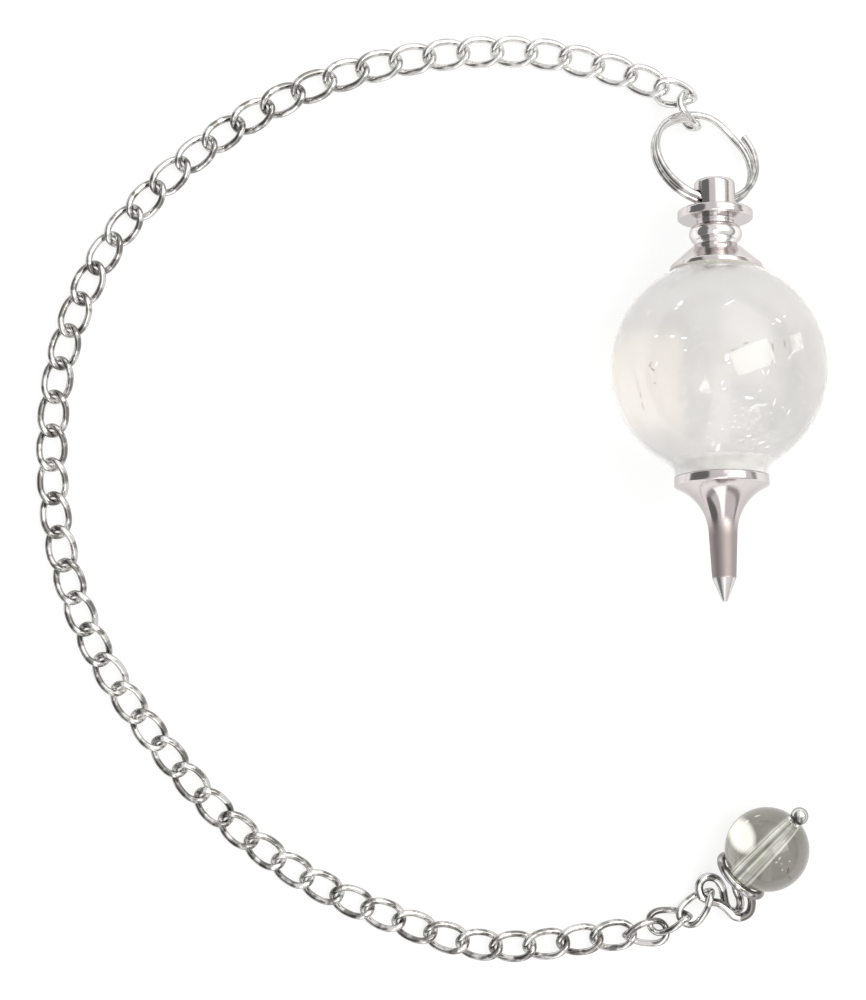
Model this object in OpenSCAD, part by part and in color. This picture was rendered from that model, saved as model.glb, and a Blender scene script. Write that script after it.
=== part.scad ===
// A quartz ball pendulum with turned silver caps, lying on a flat surface. Its chain is laid in a
// wide open curve and ends in a small drilled bead on a looped and wrapped pin.
// Millimetres, +Z up. The origin is on the surface, under the middle of the whole piece.

/* [Ball] */
// Diameter of the polished quartz ball
ball_d = 20; // [16:0.5:24]
// Glue gap between the ball and each cap's hollow seat
seat_gap = 0.05; // [0.02:0.01:0.1]

/* [Cap rims] */
// Outer diameter of both caps where they sit on the ball
rim_d = 8.7; // [7:0.1:10]
// Diameter of the top cap's rim band at its upper edge
band_top_d = 8.5; // [6:0.1:8.6]
// Height of the top cap's rim band
band_h = 0.6; // [0.4:0.05:1.2]

/* [Top cap] */
// Height of the cone from the rim band to the waist
cone_h = 1.95; // [1:0.05:2.5]
// Diameter of the waist under the collar
waist_d = 4.1; // [3.4:0.1:4.6]
// Diameter of the round collar above the waist
collar_d = 4.92; // [4.2:0.02:6]
// Height of the round collar
collar_h = 1.8; // [0.8:0.1:2]
// Diameter of the neck between the collar and the flange
neck_d = 3.5; // [2.6:0.1:4]
// Rise of the collar's lower edge over the waist
collar_rise = 0.2; // [0.1:0.05:0.6]
// Height of the neck from the collar's middle to the flange
neck_h = 1.35; // [1:0.05:2]
// Diameter of the flange
flange_d = 7; // [5:0.1:9]
// Thickness of the flange
flange_h = 0.9; // [0.7:0.1:2]
// Radius of the flange's two rounded edges
flange_round = 0.25; // [0.1:0.05:0.3]
// Diameter of the stem above the flange
stem_d = 3.76; // [3.2:0.02:4.6]
// Length of the stem above the flange
stem_l = 2.9; // [2.6:0.1:5]
// Radius of the stem's rounded top edge
stem_round = 0.45; // [0.2:0.05:0.8]
// Diameter of the cross hole through the stem
hole_d = 2; // [1.9:0.1:2.4]
// Metal left between the flange and the cross hole
hole_rise = 0.05; // [0.05:0.05:0.4]
// How far the ring lies off the cross hole's middle, towards the flange
ring_rest = 0.15; // [0:0.05:0.2]
// Turn of the cross hole about the stem, left mouth up
hole_roll = 21; // [0:1:40]

/* [Point cap] */
// Height of the point cap's straight rim
point_rim_h = 2; // [1:0.1:3]
// Radius of the hollow flare under the rim
flare_r = 4.8; // [4:0.1:7]
// Diameter of the shank where the flare ends
shank_d = 2.6; // [2:0.1:3.4]
// Diameter of the shank where the point starts
shank_end_d = 2.2; // [1.6:0.1:2.6]
// Length of the shank from the flare to the point
shank_l = 4; // [2:0.1:8]
// Length of the conical point
point_l = 2.1; // [1:0.1:4]
// Diameter of the blunt end of the point
tip_d = 0.3; // [0.2:0.05:0.6]

/* [Split ring] */
// Outer diameter of the split ring
ring_d = 10.52; // [9:0.1:14]
// Diameter of the split ring's wire
ring_wire = 0.66; // [0.5:0.02:0.8]
// Gap between the ring's two turns
turn_gap = 0.04; // [0.03:0.01:0.08]
// Lean of the ring from lying flat
ring_lean = 39.8; // [30:0.5:45]

/* [Chain] */
// Width of the chain's open curve, from its ends to its far side
curve_w = 54.9; // [45:0.1:65]
// Length of the chain's open curve, from the split ring's end to the bead's
curve_l = 82.9; // [72:0.1:92]
// Outer length of a link
link_l = 4.6; // [4:0.1:6]
// Outer width of a link
link_w = 3; // [2.8:0.1:3.6]
// Diameter of the links' wire
link_wire = 0.6; // [0.5:0.02:0.64]
// Twist of a curb link from end to end
link_twist = 90; // [80:1:100]
// Slack left between the wires of two pulled links
link_slack = 0.15; // [0.1:0.01:0.2]

/* [Bead] */
// Diameter of the small drilled bead
bead_d = 8; // [6.4:0.2:10]
// Diameter of the head pin's wire
pin_wire = 0.8; // [0.6:0.05:0.9]
// Diameter of the pin's ball head
pin_head_d = 1.7; // [1.4:0.1:2.4]
// Play of the wire in the bead's bore, and between the bead and the wire wrapped at its mouth
pin_play = 0.1; // [0.05:0.05:0.2]

/* [Hidden] */
$fn = 64;

silver = "silver";
quartz = "gainsboro";
smoky = "darkgray";

// Height of the point where the chain hooks round the split ring's band
hook_h = 1.49;
// Where the chain's route on the surface starts, in link lengths from that hook
route_from = [-1.2457, 0.8717];
// The route's points, in shares of the curve's width and length from there
chain_route = [
    [0, 0], [0.1639, -0.0253], [0.337, -0.0217], [0.5046, 0.0024], [0.663, 0.0507],
    [0.8015, 0.1194], [0.9126, 0.2087], [0.98, 0.3172], [1, 0.4318], [0.9818, 0.5501],
    [0.9217, 0.6598], [0.8251, 0.7563], [0.7067, 0.848], [0.5647, 0.9192], [0.4026, 0.9686],
    [0.2332, 1], [-0.0018, 0.9843]
];
// The three end links at the split ring: x, y and z in link lengths from the floor under the hook,
// then heading, incline and roll
ring_links = [
    [-0.1109, 0.0935, 0.4543, 113.4, 39.8, 86.8],
    [-0.3717, 0.463, 0.3478, 160, -27.3, 18],
    [-0.9239, 0.7283, 0.1913, 158, -2.8, 10]
];
// The three end links at the bead, in the same way from the route's end
bead_links = [
    [0.3283, 0.0152, 0.2261, 5.2, -3.8, 27],
    [0.813, 0.2891, 0.2609, 12.7, 19, -50],
    [1.3848, 0.587, 0.3239, 46.9, 1.3, -44.9]
];
// Where the last link hooks round the pin's loop, in link lengths from the route's end
loop_from = [1.5652, 0.7391];
// Direction of the pin from the bead to its loops
pin_heading = -130;
// The pin's loops, from the bead's mouth to the wrap, in wire diameters:
// along the heading from the hook, to its left, and height above the surface
LOOP_NECK = [-4.44, 1.13, 3.2];
pin_loops = [
    [-3.8, 1.3, 2.5], [-3.1, 2.2, 1.69], [-2.6, 3.2, 1], [-1.9, 3.9, 0.62], [-1.2, 4, 0.52],
    [-0.7, 3.4, 0.52], [-0.9, 2.5, 0.52], [-1.6, 1.6, 0.56], [-2.2, 0.8, 0.87],
    [-2.6, -0.4, 1.19], [-2.2, -1.4, 1.44], [-1.4, -1.8, 1.62], [-0.5, -1.5, 1.7],
    [0.1, -0.6, 1.77], [-0.1, 0.5, 1.77], [-0.6, 1.5, 1.77], [-0.7, 2.6, 1.81],
    [-0.6, 3.9, 1.81], [-1.1, 4.7, 1.81], [-2.1, 5, 1.88], [-3.1, 4.5, 2.12], [-3.8, 3.6, 2.62]
];

// Curves and frames
function unit(v) = v / norm(v);
function last(v) = v[len(v) - 1];
function smooth(t) = let (u = min(1, max(0, t))) u * u * (3 - 2 * u);
function spline_at(a, b, c, d, t) =
    (2 * b + (c - a) * t + (2 * a - 5 * b + 4 * c - d) * t * t + (3 * b - a - 3 * c + d) * t * t * t) / 2;
function spline(p, steps) = let (
    n = len(p),
    q = concat([2 * p[0] - p[1]], p, [2 * p[n - 1] - p[n - 2]])
) concat([for (i = [1:n - 1]) for (k = [0:steps - 1])
    spline_at(q[i - 1], q[i], q[i + 1], q[i + 2], k / steps)], [p[n - 1]]);
function lengths(p) = [for (i = 0, s = 0; i < len(p); s = s + norm(p[min(i + 1, len(p) - 1)] - p[i]),
    i = i + 1) s];
function arc(centre, r, from, to, steps) = [for (k = [0:steps])
    let (a = from + (to - from) * k / steps) centre + r * [cos(a), sin(a)]];

// Tangents and a steady normal along an open path, carried on from point to point
function tangents(p) = [for (i = [0:len(p) - 1]) unit(p[min(i + 1, len(p) - 1)] - p[max(i - 1, 0)])];
function level(n, t) = unit(n - (n * t) * t);
function carried(t) = [for (s = [0, level(abs(t[0].z) < 0.9 ? [0, 0, 1] : [1, 0, 0], t[0])];
    s[0] < len(t); s = [s[0] + 1, level(s[1], t[min(s[0] + 1, len(t) - 1)])]) s[1]];
function section(p, t, n, r, sides) = [for (k = [0:sides - 1])
    let (a = 360 * k / sides) p + r * (cos(a) * n + sin(a) * cross(t, n))];
function skin(rings, sides, closed) = [for (i = [0:rings - (closed ? 1 : 2)]) for (k = [0:sides - 1])
    let (j = (i + 1) % rings, m = (k + 1) % sides)
    [[i * sides + k, j * sides + k, j * sides + m], [i * sides + k, j * sides + m, i * sides + m]]];
function flat(lists) = [for (l = lists) each l];

// An open wire of round section along a path
module wire(path, d, sides) {
    t = tangents(path);
    n = carried(t);
    rings = len(path);
    polyhedron(
        flat([for (i = [0:rings - 1]) section(path[i], t[i], n[i], d / 2, sides)]),
        concat(
            flat(skin(rings, sides, false)),
            [[for (k = [0:sides - 1]) k]],
            [[for (k = [sides - 1:-1:0]) (rings - 1) * sides + k]]
        ),
        convexity = 6
    );
}

// The split ring: two turns side by side, joined by a short step, the upper end sprung outwards
ring_r = (ring_d - ring_wire) / 2;
ring_heading = 58.9;
RING_SIDES = 8;
HOLE_ANGLE = -55.7;
HOOK_ANGLE = 126;
STEP_START_ANGLE = 79;
STEP_END_ANGLE = 103;
LOWER_END_ANGLE = -245;
UPPER_END_ANGLE = 427;
SPRING_ANGLE = 346;
ring_spring = 0.42;
turn_half = (ring_wire + turn_gap) / 2;
ring_x = [sin(ring_heading), -cos(ring_heading), 0];
ring_y = [
    cos(ring_lean) * cos(ring_heading), cos(ring_lean) * sin(ring_heading), -sin(ring_lean)
];
ring_n = cross(ring_x, ring_y);
function ring_dir(s) = cos(s) * ring_x + sin(s) * ring_y;
ring_c = [0, 0, hook_h] - ring_r * ring_dir(HOOK_ANGLE);
function ring_point(s) =
    let (side = 2 * smooth((s - STEP_START_ANGLE) / (STEP_END_ANGLE - STEP_START_ANGLE)) - 1,
        out = ring_spring * smooth((s - SPRING_ANGLE) / (UPPER_END_ANGLE - SPRING_ANGLE)))
    ring_c + (ring_r + out) * ring_dir(s) + side * turn_half * ring_n;
RING_STEPS = 84;
RING_SWEEP = UPPER_END_ANGLE - LOWER_END_ANGLE;
ring_path = [for (k = [0:RING_STEPS]) ring_point(LOWER_END_ANGLE + RING_SWEEP * k / RING_STEPS)];

// The pendulum hangs its stem hole on the ring, and its ball rests on the surface
ball_r = ball_d / 2;
rim_r = rim_d / 2;
cap_seat = sqrt(ball_r * ball_r - rim_r * rim_r);
band_top = cap_seat + band_h;
waist_at = band_top + cone_h;
collar_mid = waist_at + collar_rise + collar_h / 2;
flange_from = collar_mid + neck_h;
flange_to = flange_from + flange_h;
stem_top = flange_to + stem_l;
hole_at = flange_to + hole_d / 2 + hole_rise;
ring_at = hole_at - ring_rest;
rest_c = ring_c + ring_r * ring_dir(HOLE_ANGLE);
lie_tilt = asin((ball_r - rest_c.z) / ring_at);
lie_turn = 0.5;
axis_up = [-sin(lie_turn) * cos(lie_tilt), cos(lie_turn) * cos(lie_tilt), -sin(lie_tilt)];
ball_c = rest_c - ring_at * axis_up;

// The chain
LINK_STATIONS = 16;
LINK_SIDES = 6;
LINK_SQUARENESS = 0.9;
// Stations lie closer together round a link's ends, where the next link bears
CROWDING_ANGLE = 7;
link_a = (link_l - link_wire) / 2;
link_b = (link_w - link_wire) / 2;
function squared(v) = sign(v) * pow(abs(v), LINK_SQUARENESS);
function link_point(a, roll) = let (
    y = link_b * squared(sin(a)),
    turn = roll - link_twist / 2 * cos(a)
) [link_a * squared(cos(a)), y * cos(turn), y * sin(turn)];
function link_path(row) = let (
    h = row[3],
    i = row[4],
    ex = [cos(h) * cos(i), sin(h) * cos(i), sin(i)],
    ey = [-sin(h), cos(h), 0],
    ez = cross(ex, ey)
) [for (k = [0:LINK_STATIONS - 1])
    let (a = 360 * k / LINK_STATIONS, p = link_point(a - CROWDING_ANGLE * sin(2 * a), row[5]))
    [row[0], row[1], row[2]] + p.x * ex + p.y * ey + p.z * ez];
flat_z = max([for (p = link_path([0, 0, 0, 0, 0, 0])) p.z]) + link_wire / 2;
ROUTE_STEPS = 24;
route = spline([for (p = chain_route) link_l * route_from - [curve_w * p.x, curve_l * p.y]], ROUTE_STEPS);
route_to = last(route);
route_s = lengths(route);
route_x = [for (i = [0:len(route) - 1]) [route_s[i], route[i].x]];
route_y = [for (i = [0:len(route) - 1]) [route_s[i], route[i].y]];
pitch_max = 2 * link_a - link_wire - link_slack;
run_count = ceil(last(route_s) / pitch_max);
joints = [for (k = [0:run_count])
    let (s = last(route_s) * k / run_count) [lookup(s, route_x), lookup(s, route_y)]];
run_links = [for (k = [0:run_count - 1])
    let (mid = (joints[k] + joints[k + 1]) / 2, d = joints[k + 1] - joints[k])
    [mid.x, mid.y, flat_z, atan2(d.y, d.x), 0, 0]];
function placed(row, from) = concat(
    link_l * [row[0], row[1], row[2]] + [from.x, from.y, 0], [row[3], row[4], row[5]]);
link_paths = [for (row = concat(
    [for (row = ring_links) placed(row, [0, 0])], run_links, [for (row = bead_links) placed(row, route_to)]
)) link_path(row)];

// The bead and its pin
bead_r = bead_d / 2;
PIN_SIDES = 8;
ahead = [cos(pin_heading), sin(pin_heading), 0];
aside = [-sin(pin_heading), cos(pin_heading), 0];
loop_hook = route_to + link_l * loop_from;
function loop_point(row) = [loop_hook.x, loop_hook.y, 0]
    + pin_wire * (row.x * ahead + row.y * aside + [0, 0, row.z]);
pin_neck = loop_point(LOOP_NECK);
neck_from = bead_r + pin_wire / 4;
pin_tilt = asin((bead_r - pin_neck.z) / neck_from);
pin_axis = cos(pin_tilt) * ahead - [0, 0, sin(pin_tilt)];
pin_up = sin(pin_tilt) * ahead + [0, 0, cos(pin_tilt)];
bead_c = pin_neck - neck_from * pin_axis;
bore_d = pin_wire + 2 * pin_play;
head_clear = pin_head_d / 2 + seat_gap;
head_from = sqrt(bead_r * bead_r - bore_d * bore_d / 4) + sqrt(head_clear * head_clear - bore_d * bore_d / 4);
// The wrap starts close round the wire and spirals out into one wide turn against the bead
WRAP_START_ANGLE = 30;
WRAP_END_ANGLE = 600;
WRAP_STEP_ANGLE = 15;
SPIRAL_START_ANGLE = 150;
SPIRAL_END_ANGLE = 400;
wrap_small = 1.22 * pin_wire;
wrap_wide = 3.12 * pin_wire;
wrap_off = bead_r + pin_wire / 2 + pin_play;
function wrap_point(a) = let (
    out = smooth((a - SPIRAL_START_ANGLE) / (SPIRAL_END_ANGLE - SPIRAL_START_ANGLE)),
    r = wrap_small + (wrap_wide - wrap_small) * out
) bead_c + sqrt(wrap_off * wrap_off - r * r) * pin_axis + r * (cos(a) * aside + sin(a) * pin_up);
pin_knots = concat(
    [for (back = [1, 0.5, 0]) pin_neck - back * pin_wire * pin_axis],
    [for (row = pin_loops) loop_point(row)],
    [for (a = [WRAP_START_ANGLE:WRAP_STEP_ANGLE * 2:WRAP_END_ANGLE]) wrap_point(a)]
);
PIN_STEPS = 3;
pin_path = concat([bead_c - head_from * pin_axis, bead_c], spline(pin_knots, PIN_STEPS));

// The middle of everything, which goes over the origin
edge_low = [
    min([for (path = link_paths) for (p = path) p.x]) - link_wire / 2,
    min([for (path = link_paths) for (p = path) p.y]) - link_wire / 2
];
edge_high = [
    max(ball_c.x + ball_r, bead_c.x + bead_r),
    max([for (path = link_paths) for (p = path) p.y]) + link_wire / 2
];
middle = [(edge_low.x + edge_high.x) / 2, (edge_low.y + edge_high.y) / 2, 0];

module on_surface() translate(-middle) children();
module on_pendulum() on_surface() translate(ball_c) rotate([-(90 + lie_tilt), 0, lie_turn]) children();
module on_pin() on_surface() translate(bead_c) rotate([0, 90 + pin_tilt, pin_heading]) children();

module crystal_ball() {
    color(quartz) on_pendulum() sphere(d = ball_d);
}

// Half sections of the caps, radius first, then the distance from the ball's middle
ARC_STEPS = 10;
EDGE_STEPS = 6;
COLLAR_LOW_ANGLE = -60;
COLLAR_TOP_ANGLE = 80;
waist_flare_w = 0.6;
waist_flare_h = 0.5;
top_section = concat(
    [[0, cap_seat], [rim_r, cap_seat], [band_top_d / 2, band_top]],
    [[waist_d / 2 + waist_flare_w, waist_at - waist_flare_h], [waist_d / 2, waist_at]],
    arc([(collar_d - collar_h) / 2, collar_mid], collar_h / 2, COLLAR_LOW_ANGLE, COLLAR_TOP_ANGLE,
        ARC_STEPS),
    [[neck_d / 2, collar_mid + collar_h / 2], [neck_d / 2, flange_from]],
    arc([flange_d / 2 - flange_round, flange_from + flange_round], flange_round, -90, 0, EDGE_STEPS),
    arc([flange_d / 2 - flange_round, flange_to - flange_round], flange_round, 0, 90, EDGE_STEPS),
    [[stem_d / 2, flange_to]],
    arc([stem_d / 2 - stem_round, stem_top - stem_round], stem_round, 0, 90, EDGE_STEPS),
    [[0, stem_top]]
);
point_rim = cap_seat + point_rim_h;
flare_reach = shank_d / 2 + flare_r;
flare_end = point_rim + sqrt(flare_r * flare_r - pow(flare_reach - rim_r, 2));
flare_start_angle = 180 + asin((flare_end - point_rim) / flare_r);
point_section = concat(
    [[0, cap_seat], [rim_r, cap_seat]],
    arc([flare_reach, flare_end], flare_r, flare_start_angle, 180, ARC_STEPS),
    [[shank_end_d / 2, flare_end + shank_l], [tip_d / 2, flare_end + shank_l + point_l]],
    [[0, flare_end + shank_l + point_l]]
);

module top_cap() {
    color(silver) on_pendulum() difference() {
        rotate_extrude() polygon(top_section);
        sphere(r = ball_r + seat_gap);
        translate([0, 0, hole_at]) rotate([0, 0, hole_roll]) rotate([0, 90, 0])
            cylinder(h = 2 * stem_d, d = hole_d, center = true);
    }
}

module point_cap() {
    color(silver) on_pendulum() rotate([180, 0, 0]) difference() {
        rotate_extrude() polygon(point_section);
        sphere(r = ball_r + seat_gap);
    }
}

module split_ring() {
    color(silver) on_surface() wire(ring_path, ring_wire, RING_SIDES);
}

module chain_link(path) {
    middle_of = (path[0] + path[LINK_STATIONS / 2]) / 2;
    t = [for (i = [0:LINK_STATIONS - 1])
        unit(path[(i + 1) % LINK_STATIONS] - path[(i + LINK_STATIONS - 1) % LINK_STATIONS])];
    polyhedron(
        flat([for (i = [0:LINK_STATIONS - 1])
            section(path[i], t[i], level(path[i] - middle_of, t[i]), link_wire / 2, LINK_SIDES)]),
        flat(skin(LINK_STATIONS, LINK_SIDES, true)),
        convexity = 4
    );
}

module chain() {
    color(silver) on_surface() for (path = link_paths) chain_link(path);
}

module end_bead() {
    color(smoky) on_pin() difference() {
        sphere(d = bead_d);
        cylinder(h = 2 * bead_d, d = bore_d, center = true);
    }
}

module head_pin() {
    color(silver) union() {
        on_surface() wire(pin_path, pin_wire, PIN_SIDES);
        on_pin() translate([0, 0, -head_from]) sphere(d = pin_head_d);
    }
}

crystal_ball();
top_cap();
point_cap();
split_ring();
chain();
end_bead();
head_pin();
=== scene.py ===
# %% [markdown]
# # A quartz ball pendulum, laid on a pale table
#
# This lesson dresses a imported CAD model. The object is a polished quartz ball between two turned
# silver caps. It hangs on a split ring, and a curb chain runs from there to a small drilled bead.
# Each cell says what a piece is on the real object, how it could be made, and why this way.
#
# The CAD model is the frame: it is already in its final place.

# %% Load the frame
import math

import bmesh
import bpy
import numpy as np
from mathutils import Matrix, Vector


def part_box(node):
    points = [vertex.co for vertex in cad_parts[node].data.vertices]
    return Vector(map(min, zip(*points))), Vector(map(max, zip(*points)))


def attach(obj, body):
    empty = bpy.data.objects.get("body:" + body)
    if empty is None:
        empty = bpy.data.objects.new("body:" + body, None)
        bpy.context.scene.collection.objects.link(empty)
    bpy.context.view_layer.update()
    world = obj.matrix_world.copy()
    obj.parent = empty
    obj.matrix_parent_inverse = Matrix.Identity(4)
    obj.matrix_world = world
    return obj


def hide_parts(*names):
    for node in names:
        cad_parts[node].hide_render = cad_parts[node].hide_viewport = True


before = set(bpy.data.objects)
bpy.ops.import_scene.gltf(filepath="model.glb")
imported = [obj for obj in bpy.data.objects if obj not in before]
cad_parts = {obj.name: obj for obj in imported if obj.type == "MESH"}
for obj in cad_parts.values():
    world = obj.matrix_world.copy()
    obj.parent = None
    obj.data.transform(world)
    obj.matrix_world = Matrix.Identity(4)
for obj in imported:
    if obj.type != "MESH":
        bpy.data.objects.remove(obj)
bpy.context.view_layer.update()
MM = 0.001
print("CAD nodes:", sorted(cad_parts))

# %% [markdown]
# ## The camera
#
# The photograph was taken from straight above and from near by. We can't read the distance off a
# picture, but a near camera sees the ball's caps larger than a far one does, and 285 mm gives the
# proportions seen. The lens then follows from the size of the object in the picture: 2992 pixels
# for each unit of slope, on a picture 1000 pixels high.

# %% Camera
PICTURE_HEIGHT = 1000
FOCAL_PIXELS = 2992.5
SENSOR = 36.0
eye = Vector((0.722, 12.043, 284.75)) * MM
target = Vector((0.722, 0.138, 0.0)) * MM

camera_data = bpy.data.cameras.new("table_camera")
camera_data.sensor_width = SENSOR
camera_data.lens = FOCAL_PIXELS / PICTURE_HEIGHT * SENSOR
camera_data.clip_start = 0.01
camera = bpy.data.objects.new("table_camera", camera_data)
forward = (target - eye).normalized()
right = Vector((1, 0, 0))
camera.location = eye
camera.rotation_euler = Matrix((right, right.cross(forward), -forward)).transposed().to_euler()
bpy.context.scene.collection.objects.link(camera)
bpy.context.scene.camera = camera
print("camera", np.round(np.array(eye) / MM, 1), "lens", round(camera_data.lens, 2), "mm")

# %% [markdown]
# ## Shader maths as sums
#
# A material is a net of nodes, and a net is hard to read. A sum isn't. So one small class wraps a
# socket: `a * 2 + b` on two of them adds the Math nodes, and `node` adds any other node. Colours
# don't go through sums, because a Math node would turn them grey.

# %% A socket that can be used in a sum
class Socket:
    """One output of a shader node. Sums, products and powers of it are Math nodes."""

    def __init__(self, tree, link=None):
        self.tree, self.link = tree, link

    def node(self, kind, settings=None, values=None, take=0):
        """Adds a node: its type, its settings, then the values or links of its sockets."""
        made = self.tree.nodes.new(kind)
        for key, value in (settings or {}).items():
            if key == "stops":
                ramp = made.color_ramp
                while len(ramp.elements) < len(value):
                    ramp.elements.new(1.0)
                for element, (place, colour) in zip(ramp.elements, value):
                    element.position = place
                    element.color = (*colour, 1.0)
            else:
                setattr(made, key, value)
        for key, value in (values or {}).items():
            if isinstance(value, Socket):
                self.tree.links.new(value.link, made.inputs[key])
            else:
                made.inputs[key].default_value = value
        return Socket(self.tree, made.outputs[take] if len(made.outputs) else None)

    def parts(self, axes=(0, 1)):
        """Some of a vector's three numbers, as sockets: x and y, or those that are asked for."""
        return [self.node("ShaderNodeSeparateXYZ", None, {0: self}, take=k) for k in axes]

    def maths(self, operation, *values):
        settings = {"operation": operation}
        return self.node("ShaderNodeMath", settings, dict(enumerate(values)))

    def __add__(self, other):
        return self.maths("ADD", self, other)

    def __radd__(self, other):
        return self.maths("ADD", other, self)

    def __sub__(self, other):
        return self.maths("SUBTRACT", self, other)

    def __rsub__(self, other):
        return self.maths("SUBTRACT", other, self)

    def __mul__(self, other):
        return self.maths("MULTIPLY", self, other)

    def __rmul__(self, other):
        return self.maths("MULTIPLY", other, self)

    def __truediv__(self, other):
        return self.maths("DIVIDE", self, other)

    def __pow__(self, other):
        return self.maths("POWER", self, other)


# %% [markdown]
# A finish is mostly masks: soft stains and bands that say where one colour gives way to another.
# So a few helpers come next: a smooth step for the edge of a mask, a noise measured in lumps to a
# millimetre, a blend of two colours, and what nearly every material here needs.

# %% Helpers for masks, noise and colour
def step(value, low, high):
    """0 below low, 1 above high, and a smooth rise between them, as 3u^2 - 2u^3."""
    return value.node(
        "ShaderNodeMapRange",
        {"interpolation_type": "SMOOTHSTEP"},
        {"Value": value, "From Min": low, "From Max": high},
    )


def noise(place, per_mm, detail=3.0, roughness=0.5, distortion=0.0):
    """Soft random values about a half, with so many lumps to a millimetre."""
    values = {
        "Vector": place, "Scale": per_mm / MM, "Detail": detail,
        "Roughness": roughness, "Distortion": distortion,
    }
    return place.node("ShaderNodeTexNoise", None, values)


def blend(mask, first, second):
    """A colour from first, where the mask is 0, to second, where it is 1."""
    as_colour = lambda c: c if isinstance(c, Socket) else (*c, 1.0)
    values = {0: mask, 6: as_colour(first), 7: as_colour(second)}
    return mask.node("ShaderNodeMix", {"data_type": "RGBA"}, values, take=2)


def coordinates(start, kind="Object"):
    """Where a point lies: in the piece's own space, or in its UV map. In the world's material,
    Generated is the direction that we look in."""
    return start.node("ShaderNodeTexCoord", None, None, take=kind)


def turned_away(start):
    """0 where the surface faces the viewer, and rising to 1 at the piece's outline."""
    return start.node("ShaderNodeLayerWeight", None, {"Blend": 0.5}, take=1)


def lines(w, scale):
    """A noise along one number alone, which gives lines square to it."""
    return w.node(
        "ShaderNodeTexNoise", {"noise_dimensions": "1D"}, {"W": w, "Scale": scale, "Detail": 3.0}
    )


def bumps(height, strength):
    """A normal tilted by a height, whose full depth is two hundredths of a millimetre."""
    values = {"Strength": strength, "Distance": 0.02 * MM, "Height": height}
    return height.node("ShaderNodeBump", None, values)


def new_material(name):
    """An empty node material, and the socket that starts its sums."""
    material = bpy.data.materials.new(name)
    material.use_nodes = True
    material.node_tree.nodes.clear()
    return material, Socket(material.node_tree)


def surface(start, **values):
    """A Principled shader with these sockets set or linked, joined to the output."""
    named = {key.replace("_", " "): value for key, value in values.items()}
    shader = start.node("ShaderNodeBsdfPrincipled", None, named)
    start.node("ShaderNodeOutputMaterial", None, {"Surface": shader})


# %% [markdown]
# ## Table and light
#
# The real thing was photographed on white by a window. Polished silver has no colour of its own to
# speak of: it shows what is round it. So the room matters as much as the metal, and we build it
# first: the table, the window and the walls. The table is white paint that also glows a little, so
# that it is as white as paper under the object too and its shadows stay faint.

# %% Floor
FLOOR_HALF = 3.0
floor_mesh = bpy.data.meshes.new("table_top")
corners = [(-1, -1), (1, -1), (1, 1), (-1, 1)]
corners = [(x * FLOOR_HALF, y * FLOOR_HALF, 0.0) for x, y in corners]
floor_mesh.from_pydata(corners, [], [(0, 1, 2, 3)])
floor = bpy.data.objects.new("table_top", floor_mesh)
bpy.context.scene.collection.objects.link(floor)

floor_paint, start = new_material("white_table")
surface(
    start, Base_Color=(0.27, 0.27, 0.27, 1), Roughness=0.9, Specular_IOR_Level=0.1,
    Emission_Color=(1, 1, 1, 1), Emission_Strength=0.785,
)
floor_mesh.materials.append(floor_paint)

# %% [markdown]
# The window is an area light high on the right. It makes the four-sided patch on the ball, so its
# direction and its two sides follow from where that patch lies and how large it is. It is far off
# for an object of this size, so that its light is even, and its power grows with its area.

# %% Window
WINDOW_FAR, WINDOW_WIDE, WINDOW_TALL = 2.4, 0.454, 0.825
WINDOW_BRIGHTNESS = 3.3
window_from = Vector((0.507, 0.189, 0.841))
ball_middle = sum((Vector(corner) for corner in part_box("crystal_ball")), Vector()) / 2
window_data = bpy.data.lights.new("window", "AREA")
window_data.shape = "RECTANGLE"
window_data.size = WINDOW_WIDE * WINDOW_FAR
window_data.size_y = WINDOW_TALL * WINDOW_FAR
window_data.color = (1.0, 0.96, 0.90)
window_data.energy = WINDOW_BRIGHTNESS * math.pi * window_data.size * window_data.size_y
window = bpy.data.objects.new("window", window_data)
window.location = ball_middle + window_from * WINDOW_FAR
window.rotation_euler = window_from.to_track_quat("Z", "Y").to_euler()
bpy.context.scene.collection.objects.link(window)
print("window light of", round(window_data.energy, 2), "W")

# %% [markdown]
# The walls are the world's light. Its brightness is a sum of soft masks on the direction x, y, z
# that we look in, so it has no hard edges of its own. The dark side on the left gives the caps
# their dark streaks. The skirting, a dark band low all round, gives the arc under each rim. The
# high wall gives the broad streaks beside the window's own, and the near strip, on the viewer's
# side of the table, gives the white streak down the flare of the point.

# %% Room
world = bpy.data.worlds.new("pale_room")
world.use_nodes = True
world.node_tree.nodes.clear()
bpy.context.scene.world = world
room = Socket(world.node_tree)
facing = coordinates(room, "Generated")
x, y, z = facing.parts((0, 1, 2))
dark_side = step(-1 * x, 0.5, 0.6) * (1 - step(z, 0.74, 0.82)) * step(z, 0.0, 0.04)
skirting = step(z, 0.03, 0.08) * (1 - step(z, 0.24, 0.32)) * (1 - dark_side)
high_wall = step(x, -0.04, 0.04) * (1 - step(x - 1.7 * z, -0.08, 0.08)) * step(y, 0.36, 0.42)
near_strip = step(x, -0.24, -0.18) * (1 - step(x, 0.1, 0.16))
near_strip = near_strip * (1 - step(y, 0.02, 0.1)) * step(z, 0.02, 0.10)
light = 0.75 * high_wall + 0.95 * near_strip
brightness = 0.78 + light - 0.60 * dark_side - 0.38 * skirting * (1 - near_strip)
tone = blend(step(x, -0.5, 0.6), (0.98, 0.965, 0.975), (1.0, 0.985, 0.97))
background = room.node("ShaderNodeBackground", None, {"Color": tone, "Strength": brightness})
room.node("ShaderNodeOutputWorld", None, {"Surface": background})

bpy.context.scene.view_settings.view_transform = "Standard"
print("room of", len(world.node_tree.nodes), "nodes")

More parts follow.
